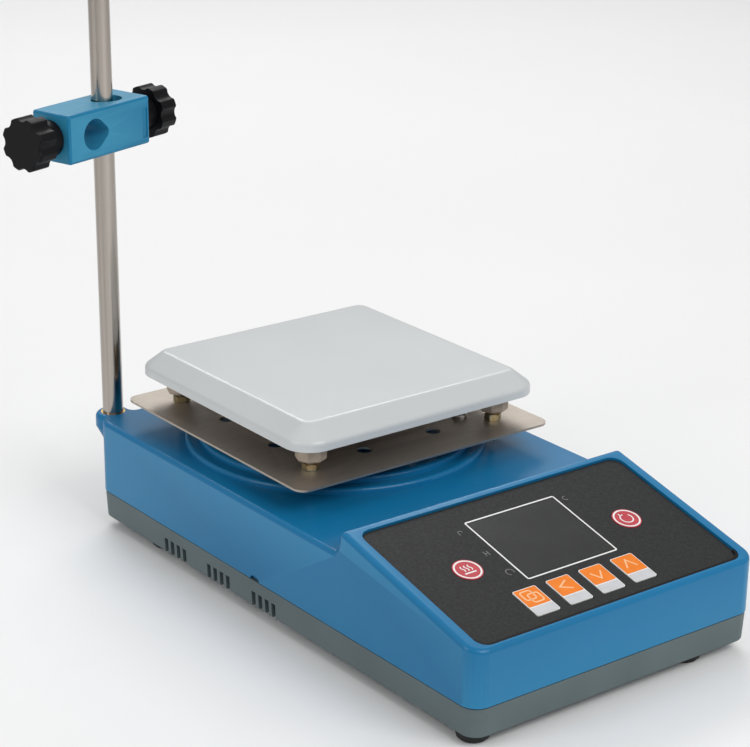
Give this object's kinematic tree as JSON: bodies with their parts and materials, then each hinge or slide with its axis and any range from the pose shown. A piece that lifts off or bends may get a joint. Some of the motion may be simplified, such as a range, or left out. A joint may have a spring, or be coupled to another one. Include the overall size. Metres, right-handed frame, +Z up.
{
  "type": "magnetic stirrer with hot plate",
  "caption": "Magnetic stirrer with square hot plate, sloped key console, round stirring drive, support rod and boss-head clamp with lobed knobs.",
  "frame": {"origin": "on the bench, straight below the stirring axis (the centre of the hot plate)", "axes": "+Z up along the stirring axis, +Y to the back where the mains inlet is, +X to the right seen from the console"},
  "size_m": [0.2033, 0.3153, 0.3953],
  "materials": {
    "housing_paint": "gloss",
    "base_paint": "satin",
    "rubber": "matt",
    "plate_coat": "satin white coat on a light metal casting",
    "sheet_steel": "brushed",
    "screw_steel": "bright",
    "yellow_zinc": "yellow zinc plate",
    "standoff_ceramic": "unglazed",
    "heater_board": "rough",
    "overlay_film": "fine grain",
    "window_plastic": "smoked",
    "key_orange": "satin",
    "button_red": "satin",
    "black_plastic": "fine grain",
    "pin_metal": "bright",
    "insert_brass": "turned",
    "board_laminate": "solder mask",
    "capacitor_can": "sleeved",
    "core_iron": "laminated",
    "copper_wire": "enamelled",
    "motor_steel": "satin",
    "carrier_alloy": "machined",
    "magnet_plate": "nickel plate",
    "lead_sleeve": "woven sleeve",
    "rod_steel": "polished stainless",
    "clamp_paint": "satin"
  },
  "bodies": {
    "housing": {"base_pan": "base_paint", "base_screws": "screw_steel", "board_screws": "screw_steel", "bracket_bolts": "screw_steel", "bracket_spacers": "screw_steel", "ceramic_standoffs": "standoff_ceramic", "control_board": "board_laminate", "display_module": "black_plastic", "display_window": "window_plastic", "fuse_holder": "black_plastic", "heat_shield": "sheet_steel", "heater_cover": "sheet_steel", "heater_insulation": "heater_board", "heater_lead": "lead_sleeve", "heater_relay": "black_plastic", "heating_element": "heater_board", "hex_nuts": "yellow_zinc", "hot_plate": "plate_coat", "inlet_pins": "pin_metal", "inlet_screws": "screw_steel", "lead_grommet": "rubber", "lead_terminal": "standoff_ceramic", "mains_inlet": "black_plastic", "motor_bearings": "insert_brass", "motor_bracket": "sheet_steel", "motor_can": "motor_steel", "motor_end_cap": "motor_steel", "motor_screws": "screw_steel", "motor_stator": "core_iron", "panel_overlay": "overlay_film", "plate_studs": "screw_steel", "power_board": "board_laminate", "power_switch_frame": "black_plastic", "power_transformer": "core_iron", "rod_insert": "insert_brass", "rubber_feet": "rubber", "shield_screws": "screw_steel", "smoothing_capacitors": "capacitor_can", "stator_windings": "copper_wire", "tact_switches": "black_plastic", "temperature_probe": "screw_steel", "upper_housing": "housing_paint"},
    "key_select": {"key_select": "key_orange"},
    "key_left": {"key_left": "key_orange"},
    "key_down": {"key_down": "key_orange"},
    "key_up": {"key_up": "key_orange"},
    "button_heat": {"button_heat": "button_red"},
    "button_stir": {"button_stir": "button_red"},
    "rocker": {"power_rocker": "black_plastic"},
    "fuse_cap": {"fuse_cap": "black_plastic"},
    "drive": {"motor_shaft": "screw_steel", "motor_rotor": "core_iron", "magnet_carrier": "carrier_alloy", "drive_magnets": "magnet_plate"},
    "rod": {"support_rod": "rod_steel"},
    "clamp": {"clamp_block": "clamp_paint"},
    "stud_left": {"clamp_stud_left": "screw_steel"},
    "stud_right": {"clamp_stud_right": "screw_steel"},
    "knob_left": {"clamp_knob_left": "black_plastic"},
    "knob_right": {"clamp_knob_right": "black_plastic"}
  },
  "joints": [
    {"name": "key_select_press", "type": "slide", "parent": "housing", "child": "key_select", "axis": [0, 0.2351, -0.972], "range_m": [0, 0.0005], "stiffness_N_per_m": 800},
    {"name": "key_left_press", "type": "slide", "parent": "housing", "child": "key_left", "axis": [0, 0.2351, -0.972], "range_m": [0, 0.0005], "stiffness_N_per_m": 800},
    {"name": "key_down_press", "type": "slide", "parent": "housing", "child": "key_down", "axis": [0, 0.2351, -0.972], "range_m": [0, 0.0005], "stiffness_N_per_m": 800},
    {"name": "key_up_press", "type": "slide", "parent": "housing", "child": "key_up", "axis": [0, 0.2351, -0.972], "range_m": [0, 0.0005], "stiffness_N_per_m": 800},
    {"name": "button_heat_press", "type": "slide", "parent": "housing", "child": "button_heat", "axis": [0, 0.2351, -0.972], "range_m": [0, 0.0005], "stiffness_N_per_m": 800},
    {"name": "button_stir_press", "type": "slide", "parent": "housing", "child": "button_stir", "axis": [0, 0.2351, -0.972], "range_m": [0, 0.0005], "stiffness_N_per_m": 800},
    {"name": "rocker_tilt", "type": "hinge", "parent": "housing", "child": "rocker", "pos_m": [0.012, 0.086, 0.036], "axis": [-1, 0, 0], "range_deg": [0, 18]},
    {"name": "fuse_cap_turn", "type": "hinge", "parent": "housing", "child": "fuse_cap", "pos_m": [0.036, 0.088, 0.036], "axis": [0, 1, 0], "range_deg": [0, 60]},
    {"name": "motor_spin", "type": "hinge", "parent": "housing", "child": "drive", "pos_m": [0, 0, 0.03], "axis": [0, 0, 1], "continuous": true},
    {"name": "rod_turn", "type": "hinge", "parent": "housing", "child": "rod", "pos_m": [-0.0684, 0.0918, 0.0553], "axis": [0, 0, 1], "continuous": true},
    {"name": "clamp_slide", "type": "slide", "parent": "rod", "child": "clamp", "axis": [0, 0, 1], "range_m": [-0.09, 0.18]},
    {"name": "stud_left_slide", "type": "slide", "parent": "clamp", "child": "stud_left", "axis": [-0.9583, -0.2857, 0], "range_m": [0, 0.004]},
    {"name": "knob_left_turn", "type": "hinge", "parent": "stud_left", "child": "knob_left", "pos_m": [-0.11191, 0.07883, 0.1992], "axis": [-0.9583, -0.2857, 0], "range_deg": [0, 1445]},
    {"name": "stud_right_slide", "type": "slide", "parent": "clamp", "child": "stud_right", "axis": [0.9583, 0.2857, 0], "range_m": [0, 0.004]},
    {"name": "knob_right_turn", "type": "hinge", "parent": "stud_right", "child": "knob_right", "pos_m": [-0.03907, 0.10054, 0.1992], "axis": [0.9583, 0.2857, 0], "range_deg": [0, 1445]}
  ],
  "couplings": [
    {"joint": "knob_left_turn", "follows": "stud_left_slide", "rad_per_m": 6283.2},
    {"joint": "knob_right_turn", "follows": "stud_right_slide", "rad_per_m": 6283.2}
  ]
}
